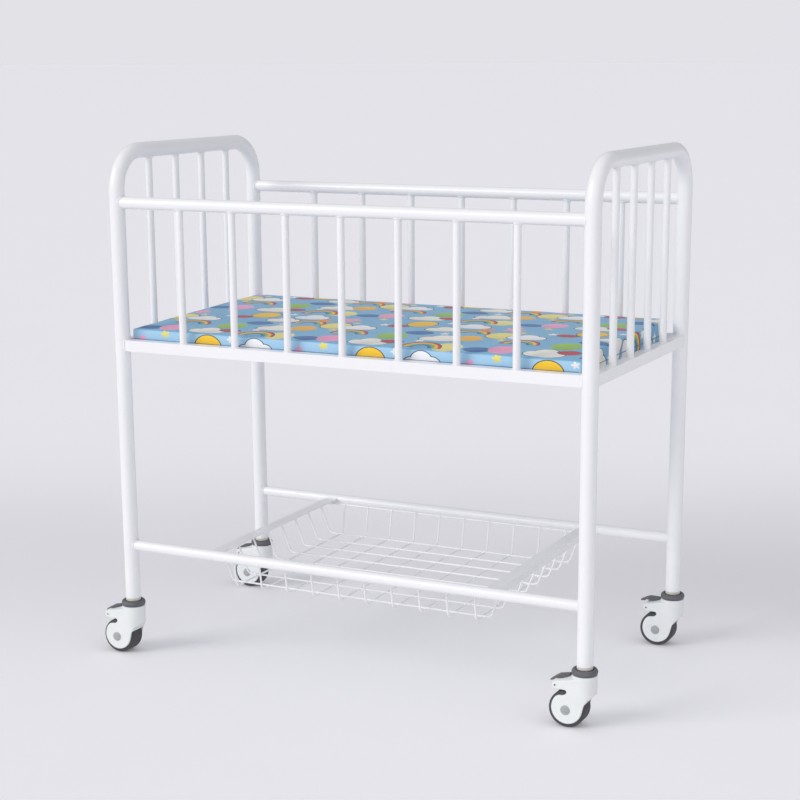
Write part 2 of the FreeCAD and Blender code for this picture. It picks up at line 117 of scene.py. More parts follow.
class Signal:
    # a shader socket that ordinary arithmetic works on; each operation adds a Math node
    def __init__(self, board, socket):
        self.board, self.socket = board, socket

    def maths(self, operation, *others, **settings):
        return self.board.maths(operation, self, *others, **settings)

    def __add__(self, other):
        return self.maths("ADD", other)

    def __sub__(self, other):
        return self.maths("SUBTRACT", other)

    def __mul__(self, other):
        return self.maths("MULTIPLY", other)

    def __truediv__(self, other):
        return self.maths("DIVIDE", other)

    def __rsub__(self, other):
        return self.board.maths("SUBTRACT", other, self)

    def __rtruediv__(self, other):
        return self.board.maths("DIVIDE", other, self)

    def __neg__(self):
        return self.maths("MULTIPLY", -1.0)

    def __abs__(self):
        return self.maths("ABSOLUTE")

    __radd__ = __add__
    __rmul__ = __mul__

    def clamped(self):
        return self.maths("ADD", 0.0, use_clamp=True)

    def atMost(self, other):
        return self.maths("MINIMUM", other)

    def atLeast(self, other):
        return self.maths("MAXIMUM", other)


class NodeBoard:
    # a node tree under construction, for a finish or for the room
    def __init__(self, tree):
        self.tree = tree
        tree.nodes.clear()

    def pick(self, group, key):
        # a socket by its number, its identifier or its name
        if isinstance(key, int):
            return group[key]
        return next((socket for socket in group if socket.identifier == key), None) or group[key]

    def put(self, socket, value):
        if isinstance(value, Signal):
            self.tree.links.new(value.socket, socket)
        else:
            socket.default_value = value

    def node(self, kind, settings=None, values=None, out=0):
        made = self.tree.nodes.new(kind)
        for name, value in (settings or {}).items():
            setattr(made, name, value)
        for key, value in (values or {}).items():
            self.put(self.pick(made.inputs, key), value)
        return Signal(self, self.pick(made.outputs, out))

    def maths(self, operation, *values, **settings):
        return self.node("ShaderNodeMath", {"operation": operation, **settings}, dict(enumerate(values)))

    def output(self, kind, surface):
        self.tree.links.new(surface.socket, self.tree.nodes.new(kind).inputs["Surface"])


class Finish(NodeBoard):
    # a material under construction, with one Principled shader that takes the uniform values directly
    def __init__(self, name, **uniform):
        self.material = bpy.data.materials.new(name)
        self.material.use_nodes = True
        super().__init__(self.material.node_tree)
        surface = self.node("ShaderNodeBsdfPrincipled")
        self.shader = surface.socket.node
        self.output("ShaderNodeOutputMaterial", surface)
        self.feed(**uniform)

    def feed(self, **links):
        for socket, value in links.items():
            self.put(self.shader.inputs[socket.replace("_", " ")], value)
        return self.material

    def place(self):
        return self.node("ShaderNodeTexCoord", out="Object")

    def acrossAndUp(self, vector):
        parts = self.node("ShaderNodeSeparateXYZ", None, {0: vector})
        return parts, Signal(self, parts.socket.node.outputs[1])

    def noise(self, where, scale, detail, roughness=0.5):
        return self.node("ShaderNodeTexNoise", None, {"Vector": where, "Scale": scale, "Detail": detail,
                                                      "Roughness": roughness}, "Fac")

    def patches(self, noise, start, steepness):
        # 0 where the noise is under start, and rising to 1 above it
        return ((noise - start) * steepness).clamped()

    def blend(self, factor, first, second):
        return self.node("ShaderNodeMix", {"data_type": "RGBA"},
                         {"Factor_Float": factor, "A_Color": first, "B_Color": second}, "Result_Color")

    def bump(self, height, strength, distance, under=None):
        values = {"Strength": strength, "Distance": distance, "Height": height}
        if under is not None:
            values["Normal"] = under
        return self.node("ShaderNodeBump", None, values)


def rgb(red, green, blue):
    # screen colour, 0 to 255, as a linear shader colour
    linear = [((v / 255 + 0.055) / 1.055) ** 2.4 if v > 10 else v / 255 / 12.92 for v in (red, green, blue)]
    return (*linear, 1.0)


# Finishes

coatFacts = {
    "tints": (rgb(239, 239, 242), rgb(245, 245, 247)),
    "dust": rgb(222, 221, 222), "dustShare": 0.35,
    "roughness": 0.30, "lacquer": 0.25,  # least values, before the noises add to them
}


def powderCoat():
    facts = coatFacts
    coat = Finish("whitePowderCoat", Coat_Roughness=0.12, Specular_IOR_Level=0.5)
    place = coat.place()
    cloud = coat.noise(place, scale=9.0, detail=3.0)
    peel = coat.noise(place, scale=620.0, detail=2.0)
    dust = coat.noise(place, scale=70.0, detail=4.0, roughness=0.65)
    dusty = coat.patches(dust, start=0.62, steepness=4.0) * facts["dustShare"]
    tint = coat.blend(dusty, coat.blend(cloud, *facts["tints"]), facts["dust"])
    orangePeel = coat.bump(peel, strength=0.10, distance=0.0005)
    return coat.feed(Base_Color=tint, Roughness=facts["roughness"] + cloud * 0.06 + dust * 0.08,
                     Coat_Weight=facts["lacquer"] + cloud * 0.1,
                     Normal=coat.bump(dust, strength=0.05, distance=0.0008, under=orangePeel))


# mottle and grain are a noise's scale and detail, relief is the grain's bump strength and distance, and
# roughness is the least value and what the mottle adds
plasticFacts = {
    "white_plastic": {
        "title": "mouldedWhite", "tints": (rgb(228, 231, 231), rgb(238, 240, 240)),
        "mottle": (45.0, 3.0), "grain": (1500.0, 2.0), "relief": (0.08, 0.0002), "roughness": (0.34, 0.08),
        "scuffs": {"tint": rgb(196, 198, 198), "share": 0.4, "roughness": 0.15},
        "uniform": {"Specular_IOR_Level": 0.5, "Subsurface_Weight": 0.04, "Subsurface_Scale": 0.01},
    },
    "dark_plastic": {
        "title": "darkGreyPlastic", "tints": (rgb(84, 84, 88), rgb(112, 112, 117)),
        "mottle": (80.0, 4.0), "grain": (2100.0, 2.0), "relief": (0.12, 0.0002), "roughness": (0.42, 0.16),
        "uniform": {"Specular_IOR_Level": 0.45},
    },
    "grey_plastic": {
        "title": "greyCap", "tints": (rgb(158, 161, 163), rgb(174, 177, 179)),
        "mottle": (120.0, 3.0), "grain": (1700.0, 2.0), "relief": (0.08, 0.0002), "roughness": (0.36, 0.1),
        "uniform": {"Specular_IOR_Level": 0.45},
    },
    "ivory_plastic": {
        "title": "ivoryPlastic", "tints": (rgb(206, 205, 192), rgb(222, 221, 208)),
        "mottle": (150.0, 3.0), "grain": (150.0, 3.0), "relief": (0.1, 0.0003), "roughness": (0.45, 0.1),
        "uniform": {"Specular_IOR_Level": 0.4},
    },
}


def mouldedPlastic(facts):
    plastic = Finish(facts["title"], **facts["uniform"])
    place = plastic.place()
    mottle = plastic.noise(place, *facts["mottle"])
    grain = plastic.noise(place, *facts["grain"])
    tint = plastic.blend(mottle, *facts["tints"])
    least, added = facts["roughness"]
    roughness = least + mottle * added
    if "scuffs" in facts:
        scuff = plastic.noise(place, scale=190.0, detail=5.0, roughness=0.7)
        marks = plastic.patches(scuff, start=0.64, steepness=7.0)
        tint = plastic.blend(marks * facts["scuffs"]["share"], tint, facts["scuffs"]["tint"])
        roughness = roughness + marks * facts["scuffs"]["roughness"]
    return plastic.feed(Base_Color=tint, Roughness=roughness, Normal=plastic.bump(grain, *facts["relief"]))


treadFacts = {
    "tints": (rgb(58, 58, 61), rgb(92, 92, 95)),
    "dust": rgb(128, 126, 122), "dustShare": 0.3,
    "roughness": 0.55,
}


def tread():
    facts = treadFacts
    rubber = Finish("greyTread", Specular_IOR_Level=0.35)
    place = rubber.place()
    dust = rubber.noise(place, scale=130.0, detail=5.0, roughness=0.7)
    fine = rubber.noise(place, scale=900.0, detail=3.0)
    dusty = rubber.patches(dust, start=0.6, steepness=5.0) * facts["dustShare"]
    tint = rubber.blend(dusty, rubber.blend(dust, *facts["tints"]), facts["dust"])
    return rubber.feed(Base_Color=tint, Roughness=facts["roughness"] + dust * 0.25,
                       Normal=rubber.bump(fine, strength=0.25, distance=0.0004))


steelFacts = {
    "tints": (rgb(176, 178, 182), rgb(206, 207, 210)),
    "stretch": (900.0, 900.0, 40.0),  # the brushing is long along z and fine across it
    "roughness": 0.25,
}


def zincSteel():
    facts = steelFacts
    steel = Finish("zincSteel", Metallic=1.0)
    stretched = steel.node("ShaderNodeMapping", None, {"Vector": steel.place(), "Scale": facts["stretch"]})
    brushed = steel.noise(stretched, scale=1.0, detail=3.0)
    tint = steel.blend(brushed, *facts["tints"])
    return steel.feed(Base_Color=tint, Roughness=facts["roughness"] + brushed * 0.2,
                      Normal=steel.bump(brushed, strength=0.1, distance=0.0001))


finishes = {"white_coat": powderCoat(), "tyre": tread(), "steel": zincSteel()}
finishes.update({slot: mouldedPlastic(facts) for slot, facts in plasticFacts.items()})

for part in frame["record"]["subparts"]:
    for holder in nodes[part["node"]].material_slots:
        holder.material = finishes.get(part["material_slot"], holder.material)
print("stage: finishes on the solids")


# Weld beads, under the same white coat

weldFacts = {
    "bead": 0.0017,  # radius of a bead
    "ripple": 0.10,  # share of the radius by which the ripples rise
    "ripplePitch": 0.0022,
    "around": 84,  # points round a seam
    "section": 8,  # points round the bead itself
    "squareCorner": 0.25,  # power that makes a square tube's outline, where a round tube has 1
    "apart": 0.02,  # places further apart than this are on separate bars or wires
}


def seamBead(centre, out, across, hostAxis, half, hostRadius, corner=1.0):
    # a tube meets a round host: the seam is the tube's outline pushed onto the host's surface, and the bead
    # is a small ring section carried along it; the outline is a superellipse of exponent 2 / corner, and a
    # host radius of 0 stands for a flat host
    angle = ringAngles(weldFacts["around"])
    wave = [np.sign(f(angle)) * np.abs(f(angle)) ** corner for f in (np.cos, np.sin)]
    side, along = half * wave[0][:, None], half * wave[1][:, None]
    depth = np.sqrt(np.maximum(hostRadius ** 2 - side ** 2, 0)) if hostRadius else 0 * side
    seam = centre + side * across + along * hostAxis + depth * out
    outward = np.cos(angle)[:, None] * across + np.sin(angle)[:, None] * hostAxis
    ripples = np.round(fullTurn * half / weldFacts["ripplePitch"])
    radius = weldFacts["bead"] * (1 + weldFacts["ripple"] * np.sin(ripples * angle))[:, None, None]
    turn = ringAngles(weldFacts["section"])[None, :, None]
    return seam[:, None] + radius * (np.cos(turn) * outward[:, None] + np.sin(turn) * out)


def weldPiece(name, shells, looped):
    # each shell is rings x points around x 3; its rings close in a loop, or its small end rings are capped
    rings, around = shells[0].shape[:2]
    groups = [ringFaces(rings, around, looped)]
    if not looped:
        ring = np.arange(around)
        groups.append(np.stack([ring[::-1], ring + (rings - 1) * around]))
    starts = np.arange(len(shells))[:, None, None] * rings * around
    groups = [(group[None] + starts).reshape(-1, group.shape[1]) for group in groups]
    piece = newPiece(name, np.concatenate([shell.reshape(-1, 3) for shell in shells]), *groups)
    work = bmesh.new()
    work.from_mesh(piece.data)
    bmesh.ops.recalc_face_normals(work, faces=work.faces)
    work.to_mesh(piece.data)
    work.free()
    piece.data.materials.append(finishes["white_coat"])
    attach(piece, "frame")


def middlesAndRadius(places):
    # middles of the separate bars that the places belong to, and the radius of the first
    places = np.sort(places)
    breaks = np.flatnonzero(np.diff(places) > weldFacts["apart"])
    starts = places[np.concatenate([[0], breaks + 1])]
    stops = places[np.concatenate([breaks, [len(places) - 1]])]
    return (starts + stops) / 2, (stops[0] - starts[0]) / 2


barBeads, railBeads = [], []
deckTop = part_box("front_deck_rail")[1].z
for side in ("front", "rear"):
    rail, railRadius = middleAndHalf(side + "_top_rail", 2)
    middles, barRadius = middlesAndRadius(pointsOf(nodes[side + "_side_bars"].data)[:, 0])
    for x in middles:
        barBeads.append(seamBead(np.array([x, rail[1], deckTop]), zAxis, xAxis, yAxis, barRadius, 0))
        barBeads.append(seamBead(np.array([x, *rail[1:]]), -zAxis, yAxis, xAxis, barRadius, railRadius))
for end, inward in (("head", xAxis), ("foot", -xAxis)):
    hoopLow, hoopHigh = boxCorners(end + "_end_hoop")
    hoop, hoopRadius = middleAndHalf(end + "_end_hoop", 0)
    middles, barRadius = middlesAndRadius(pointsOf(nodes[end + "_end_bars"].data)[:, 1])
    for y in middles:
        barBeads.append(seamBead(np.array([hoop[0], y, deckTop]), zAxis, xAxis, yAxis, barRadius, 0))
        top = np.array([hoop[0], y, hoopHigh[2] - hoopRadius])
        barBeads.append(seamBead(top, -zAxis, xAxis, yAxis, barRadius, hoopRadius))
    legs = (("front", hoopLow[1] + hoopRadius, yAxis), ("rear", hoopHigh[1] - hoopRadius, -yAxis))
    for side, legY, toMiddle in legs:
        for level in ("top", "lower", "deck"):
            rail, railHalf = middleAndHalf(side + "_" + level + "_rail", 2)
            place = np.array([hoop[0], *rail[1:]])
            corner = weldFacts["squareCorner"] if level == "deck" else 1.0
            railBeads.append(seamBead(place, inward, yAxis, zAxis, railHalf, hoopRadius, corner))
        rail, railHalf = middleAndHalf(end + "_deck_rail", 2)
        place = np.array([hoop[0], legY, rail[2]])
        railBeads.append(seamBead(place, toMiddle, xAxis, zAxis, railHalf, hoopRadius,
                                  weldFacts["squareCorner"]))
weldPiece("bar_weld_beads", barBeads, looped=True)
weldPiece("rail_weld_beads", railBeads, looped=True)
print("stage: weld beads,", len(barBeads) + len(railBeads))


# Spot welds of the wire basket, and the runs that hold its end strips

basketWeldFacts = {
    "half": (0.0027, 0.0027, 0.0020),  # half sizes of a pressed nugget between two crossed wires
    "rings": 6, "around": 10,
    "pole": 0.02,  # angle left at each pole, where a small cap closes the nugget
    "floorBand": 0.004,  # how far above its lowest point a wire still lies in the basket's floor
    "stripWidth": 0.025,
    "run": 0.0016, "runSteps": 26,  # radius of a strip's weld run, and rings along it
    "runEnd": 0.004,  # share of the run at which its end ring stands
    "runRipple": 0.08, "runRipples": 60,  # share of the radius, and the angle that the ripples go through
}


def nuggets(centres):
    # ellipsoids: half sizes times (cos t sin s, sin t sin s, cos s), for t round and s from pole to pole
    facts = basketWeldFacts
    turn = ringAngles(facts["around"])
    rise = np.linspace(facts["pole"], math.pi - facts["pole"], facts["rings"])[:, None]
    ball = np.stack([np.cos(turn) * np.sin(rise), np.sin(turn) * np.sin(rise), np.cos(rise) + 0 * turn], -1)
    return np.array(centres)[:, None, None, :] + ball * np.array(facts["half"])


def floorWires(node, axis):
    # middles of the wires in a node, where they lie in the basket's floor
    points = pointsOf(nodes[node].data)
    low = points[points[:, 2] < points[:, 2].min() + basketWeldFacts["floorBand"]]
    return middlesAndRadius(low[:, axis])[0]


crossPlaces = floorWires("basket_cross_wires", 0)
longPlaces = floorWires("basket_long_wires", 1)
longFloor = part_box("basket_long_wires")[0].z
rimLow, rimHigh = boxCorners("basket_rim_wire")
rim, rimRadius = middleAndHalf("basket_rim_wire", 2)
meetings = [(x, y, longFloor) for x in crossPlaces for y in longPlaces]
meetings += [(x, side * (rimHigh[1] - 2 * rimRadius), rim[2]) for x in crossPlaces for side in (-1, 1)]
meetings += [(edge, y, rim[2]) for y in longPlaces
             for edge in (rimLow[0] + 2 * rimRadius, rimHigh[0] - 2 * rimRadius)]
weldPiece("basket_spot_welds", nuggets(meetings), looped=False)


def weldRun(start, end):
    # a rounded run from start to end: rings whose radius is run * sqrt(1 - (2u - 1)^8), with slight ripples
    facts = basketWeldFacts
    along = np.linspace(facts["runEnd"], 1 - facts["runEnd"], facts["runSteps"])[:, None, None]
    ripple = 1 + facts["runRipple"] * np.sin(along * facts["runRipples"])
    radius = facts["run"] * np.sqrt(1 - np.abs(2 * along - 1) ** 8) * ripple
    turn = ringAngles(facts["around"])[None, :, None]
    side = np.cross((end - start) / np.linalg.norm(end - start), zAxis)
    return start + along * (end - start) + radius * (np.cos(turn) * side + np.sin(turn) * zAxis)


runs = []
stripLow, stripHigh = boxCorners("basket_end_strips")
for side, toward in (("front", 1), ("rear", -1)):
    rail, railRadius = middleAndHalf(side + "_lower_rail", 2)
    y = rail[1] + toward * math.sqrt(railRadius ** 2 - (stripHigh[2] - rail[2]) ** 2)
    for outer, inward in ((stripLow[0], 1), (stripHigh[0], -1)):
        inner = outer + inward * basketWeldFacts["stripWidth"]
        runs.append(weldRun(np.array([outer, y, stripHigh[2]]), np.array([inner, y, stripHigh[2]])))
weldPiece("strip_weld_runs", runs, looped=False)
print("stage: basket welds,", len(meetings) + len(runs))


# Mattress: foam that swells against its cover, with a printed cloth over it

mattressFacts = {
    "merge": 0.00002,  # how near the core's loose corners are when they belong together
    "voxel": 0.005, "pressure": 4.0, "frames": 20,
    "cap": 0.0035,  # furthest that a point of the cloth may move
    "clearance": 0.0003,  # to the cover's box and to the slats
    "foamCorner": 0.012, "foamEdge": 0.009,  # radii of the foam, in plan and along the top
    "tightness": 0.40,  # the cover is drawn tight, so its radii are this share of the foam's
    "blendOut": 2.1,  # depth, in radii, from which the foam is as it was
    "endPlay": (-0.4444, 0.4365),  # where its ends lie, from the deck's middle: it is pushed to the head
    "frontTop": 0.6222, "rearTop": 0.6334,  # the foam is pressed down along its front edge
    "headRise": 1.25, "footRise": 6.0,  # how soon the top rises from the front edge, at each end
    "wave": 0.0008, "waveLength": 0.15,  # slow waves in the top
    "pucker": 0.0010, "puckers": 90,  # soft gathers at the corners, and how many a whole turn would hold
    "puckerLength": 0.045, "puckerDepth": 0.01,  # how far they run along a side, and into the mattress
    "puckerDrift": 3.0, "driftLength": 0.05,  # they aren't evenly spaced
    "arcSaving": 0.4,  # the cloth round an edge is shorter than the edge's two sides by this share
}


def swell(piece, facts):
    # cloth under a little pressure, with each point held near where it began
    start = pointsOf(piece.data)
    cloth = piece.modifiers.new("Cloth", "CLOTH")
    cloth.settings.quality = 5
    cloth.settings.use_pressure = True
    cloth.settings.uniform_pressure_force = facts["pressure"]
    cloth.settings.effector_weights.gravity = 0
    cloth.settings.tension_stiffness = 15
    cloth.settings.bending_stiffness = 0.5
    cloth.collision_settings.use_collision = False
    scene = bpy.context.scene
    for step in range(1, facts["frames"] + 1):
        scene.frame_set(step)
    ready = piece.evaluated_get(bpy.context.evaluated_depsgraph_get())
    shift = pointsOf(ready.data) - start
    piece.modifiers.remove(cloth)
    scene.frame_set(1)
    length = np.linalg.norm(shift, axis=1, keepdims=True)
    shift *= facts["cap"] * np.tanh(length / facts["cap"]) / np.maximum(length, 1e-9)
    putPoints(piece.data, start + shift)


def smoothNoise(points, wavelength, seed, waves=6):
    # the mean of a few plane waves with seeded directions, lengths and phases
    chance = np.random.default_rng(seed)
    total = np.zeros(len(points))
    for _ in range(waves):
        direction = chance.normal(size=3)
        direction /= np.linalg.norm(direction)
        length = wavelength * chance.uniform(0.7, 1.5)
        total += np.sin(points @ direction * fullTurn / length + chance.uniform(0, fullTurn))
    return total / waves


def drawnTight(depth, radius, facts):
    # depth below a face, remapped so that an edge of the foam's radius gets the cover's smaller radius
    deep, farInside = facts["blendOut"] * radius, 1.0  # the second is deeper than any point
    return np.interp(np.maximum(depth, 0), [0, radius, deep, farInside],
                     [0, facts["tightness"] * radius, deep, farInside])


def topHeight(points, half, facts):
    # the top rises from the pressed front edge: front + (rear - front) * (1 - (1 - s)^p), s from 0 to 1
    toRear = np.clip((points[:, 1] + half[1]) / (2 * half[1]), 0, 1)
    toFoot = np.clip((points[:, 0] + half[0]) / (2 * half[0]), 0, 1)
    power = facts["headRise"] + (facts["footRise"] - facts["headRise"]) * toFoot ** 2
    return facts["frontTop"] + (facts["rearTop"] - facts["frontTop"]) * (1 - (1 - toRear) ** power)


def gathers(points, half, facts):
    # ripples that run down the sides close to each corner, as shifts in x and y
    depth = half[:2] - np.abs(points[:, :2])
    near = np.exp(-depth.max(1) / facts["puckerLength"] - depth.min(1) / facts["puckerDepth"])
    turn = np.arctan2(*(points[:, :2] / half[:2]).T)
    drift = facts["puckerDrift"] * smoothNoise(points, facts["driftLength"], 9)
    ripple = np.sin(turn * facts["puckers"] + drift) - 1
    outward = np.stack([depth[:, 0] < depth[:, 1], depth[:, 0] >= depth[:, 1]], -1) * np.sign(points[:, :2])
    return outward * (facts["pucker"] * near * ripple)[:, None]


def foamMesh(facts):
    # the core's loose triangles, welded and remeshed in even squares, then swollen
    piece = bpy.data.objects.new("printed_mattress", nodes["mattress_core"].data.copy())
    bpy.context.scene.collection.objects.link(piece)
    weld = piece.modifiers.new("Weld", "WELD")
    weld.merge_threshold = facts["merge"]
    remesh = piece.modifiers.new("Remesh", "REMESH")
    remesh.mode = "VOXEL"
    remesh.voxel_size = facts["voxel"]
    ready = piece.evaluated_get(bpy.context.evaluated_depsgraph_get())
    mesh = bpy.data.meshes.new_from_object(ready)
    piece.modifiers.clear()
    piece.data = mesh
    swell(piece, facts)
    return piece, mesh


def mattressPiece():
    facts = mattressFacts
    piece, mesh = foamMesh(facts)
    low, high = boxCorners("mattress_cover")
    middle, half = (low + high) / 2, (high - low) / 2
    # the swollen foam fills the cover from face to face
    points = pointsOf(mesh) - middle
    points *= (half - facts["clearance"]) / np.abs(points).max(0)
    # its corners and upper edges are drawn tight; under its middle the heights stay as they were
    depth = half - np.abs(points)
    radii = (facts["foamCorner"], facts["foamCorner"], facts["foamEdge"])
    tight = half - np.stack([drawnTight(depth[:, axis], radii[axis], facts) for axis in range(3)], -1)
    tight[:, 2] = np.where(points[:, 2] > 0, tight[:, 2], np.abs(points[:, 2]))
    points = np.sign(points) * tight
    rise = (points[:, 2] + half[2]) / (2 * half[2])
    wave = facts["wave"] * smoothNoise(points, facts["waveLength"], 4)
    lift = topHeight(points, half, facts) - high[2] + wave
    points[:, :2] += gathers(points, half, facts)
    clothPlaces(mesh, points, half, facts)
    points[:, 2] += lift * rise
    headEnd, footEnd = facts["endPlay"]
    points[:, 0] = headEnd + (points[:, 0] + half[0]) * (footEnd - headEnd) / (2 * half[0])
    points += middle
    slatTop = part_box("deck_slats")[1].z
    points[:, 2] = np.maximum(points[:, 2], slatTop + facts["clearance"])
    putPoints(mesh, points)
    mesh.polygons.foreach_set("use_smooth", np.ones(len(mesh.polygons), bool))
    subdivide = piece.modifiers.new("Subdivision", "SUBSURF")
    subdivide.levels = subdivide.render_levels = 1
    return piece


def clothPlaces(mesh, points, half, facts):
    # UV in metres: the cloth laid flat, so what hangs down a side carries on from the top
    drop = np.maximum(half[2] - points[:, 2], 0)
    inside = half[:2] - facts["tightness"] * facts["foamEdge"]
    over = np.maximum(np.abs(points[:, :2]) - inside, 0)
    total = over.sum(1)
    share = over / np.maximum(total, 1e-6)[:, None]
    down = (drop - facts["arcSaving"] * np.minimum(total, drop))[:, None] * share
    flat = np.sign(points[:, :2]) * (np.minimum(np.abs(points[:, :2]), inside) + over + down)
    loops = np.empty(len(mesh.loops), np.int32)
    mesh.loops.foreach_get("vertex_index", loops)
    layer = mesh.uv_layers.new(name="cloth")
    layer.uv.foreach_set("vector", flat[loops].astype(np.float32).ravel())


# The print: plain motifs on sky blue, repeated over one tile

printFacts = {
    "tile": (0.330, 0.240),
    "edge": 0.0005,  # softness of a printed edge
    "ink": rgb(38, 54, 84), "line": 0.0013,  # of the outlines
    "inked": ("sun", "cloud", "leaf", "rainbow"),
    "shade": 0.82, "shadeRise": 0.6,  # a motif is darker towards its foot
    "archHollow": 0.40,  # the rainbow's inner radius, where its outer one is 1
    "bands": [rgb(206, 52, 66), rgb(250, 196, 60), rgb(120, 190, 84), rgb(64, 124, 196)],
    "bandSharpness": 30.0,
    "ground": rgb(112, 172, 212), "groundPale": rgb(132, 188, 222),
    "paintedLitSide": rgb(172, 212, 240),  # painted light: the long sides are painted paler, as if lit from the front, with a painted sheen
    "litSideShare": 0.9, "litSideFade": 0.004,
    "topHalf": (0.442, 0.224),  # half sizes of the top
    # painted shadow: a dark line low on the sides, where the gap above the rail is in shade
    "seam": rgb(58, 104, 152), "gapShadowShare": 0.8,
    "gapShadowAt": 0.0222, "gapShadowHalf": 0.0006,  # how far the painted shadow line is below the top's edge, and half its width
    "thread": 0.0009,
    "lint": rgb(236, 238, 240), "lintShare": 0.12,
}

dyes = {
    "yellow": rgb(250, 204, 52), "amber": rgb(250, 190, 62), "lemon": rgb(246, 232, 140),
    "cream": rgb(246, 232, 150), "straw": rgb(250, 232, 110), "orange": rgb(246, 150, 60),
    "pink": rgb(252, 168, 208), "rose": rgb(252, 170, 206), "red": rgb(206, 50, 64),
    "green": rgb(152, 200, 84), "blue": rgb(60, 118, 184), "white": rgb(248, 250, 250),
    "snow": rgb(248, 250, 252), "ivory": rgb(250, 246, 234), "pearl": rgb(246, 244, 236),
}

# a motif's kind, its middle in the tile, its size and its dye; a later one lies over an earlier one
motifs = [
    ("sun", (0.052, 0.226), 0.029, "yellow"),
    ("cloud", (0.150, 0.229), 0.034, "snow"),
    ("petals", (0.236, 0.222), 0.024, "rose"),
    ("star", (0.290, 0.010), 0.010, "straw"),
    ("star", (0.100, 0.008), 0.009, "white"),
    ("ball", (0.186, 0.044), 0.027, "cream"),
    ("rainbow", (0.140, 0.030), 0.038, None),
    ("leaf", (0.244, 0.040), 0.030, "blue"),
    ("ball", (0.286, 0.050), 0.025, "pink"),
    ("cloud", (0.034, 0.046), 0.036, "pearl"),
    ("leaf", (0.074, 0.058), 0.026, "red"),
    ("star", (0.118, 0.078), 0.010, "white"),
    ("ball", (0.052, 0.102), 0.028, "green"),
    ("cloud", (0.146, 0.104), 0.038, "ivory"),
    ("ball", (0.194, 0.118), 0.024, "amber"),
    ("rainbow", (0.296, 0.096), 0.036, None),
    ("star", (0.252, 0.122), 0.009, "straw"),
    ("leaf", (0.086, 0.144), 0.032, "blue"),
    ("star", (0.134, 0.146), 0.010, "white"),
    ("sun", (0.238, 0.160), 0.030, "lemon"),
    ("cloud", (0.286, 0.156), 0.034, "snow"),
    ("rainbow", (0.176, 0.164), 0.034, None),
    ("cloud", (0.112, 0.186), 0.032, "ivory"),
    ("leaf", (0.016, 0.196), 0.026, "red"),
    ("petals", (0.190, 0.204), 0.018, "orange"),
    ("star", (0.318, 0.200), 0.011, "white"),
    ("star", (0.262, 0.196), 0.009, "straw"),
]


def motifShape(cloth, where, kind, middle, size):
    # how far a point is outside a motif's edge, in metres, and its place from the motif's middle as shares
    # of the motif's size; the motif comes again in every tile
    width, depth = printFacts["tile"]
    local = cloth.node("ShaderNodeVectorMath", {"operation": "SUBTRACT"}, {0: where, 1: (*middle, 0)})
    local = cloth.node("ShaderNodeVectorMath", {"operation": "WRAP"},
                       {0: local, 1: (width / 2, depth / 2, 1), 2: (-width / 2, -depth / 2, -1)})
    x, y = cloth.acrossAndUp(local)

    def angle():
        return y.maths("ARCTAN2", x)

    def disc(offsetX, offsetY, radius, squeeze=1.0):
        across, up = x - offsetX * size, (y - offsetY * size) * squeeze
        return (across * across + up * up).maths("SQRT") - radius * size

    if kind == "cloud":  # three puffs on a flat foot
        puffs = disc(0, 0.15, 0.62).atMost(disc(-0.62, -0.1, 0.42)).atMost(disc(0.60, -0.05, 0.48))
        edge = puffs.atMost(disc(0, -0.28, 1.0, squeeze=3.2))
    elif kind == "leaf":  # where two discs overlap
        edge = disc(0, 0.5, 1).atLeast(disc(0, -0.5, 1))
    elif kind == "petals":  # a disc whose edge swings in and out five times
        edge = disc(0, 0, 0.72) - (angle() * 5.0).maths("COSINE") * 0.24 * size
    elif kind == "star":  # five straight-sided points
        edge = disc(0, 0, 0.45) - (angle() * (5.0 / fullTurn)).maths("PINGPONG", 0.5) * 1.1 * size
    elif kind == "rainbow":  # arches over a flat foot
        edge = disc(0, 0, 1).atLeast(-y).atLeast(-disc(0, 0, printFacts["archHollow"]))
    else:
        edge = disc(0, 0, 1)
    return edge, x / size, y / size


def arches(cloth, across, up):
    # bands of the rainbow, from its outer edge to its hollow
    bands = printFacts["bands"]
    inward = (1.0 - (across * across + up * up).maths("SQRT")) / (1.0 - printFacts["archHollow"])
    colour = bands[0]
    for index, band in enumerate(bands[1:], 1):
        step = (0.5 + (inward - index / len(bands)) * printFacts["bandSharpness"]).clamped()
        colour = cloth.blend(step, colour, band)
    return colour


def motifBody(cloth, kind, dye, across, up):
    if kind == "rainbow":
        return arches(cloth, across, up)
    fill = dyes[dye]
    shade = (*(printFacts["shade"] * channel for channel in fill[:3]), 1.0)
    return cloth.blend((0.5 + up * printFacts["shadeRise"]).clamped(), shade, fill)


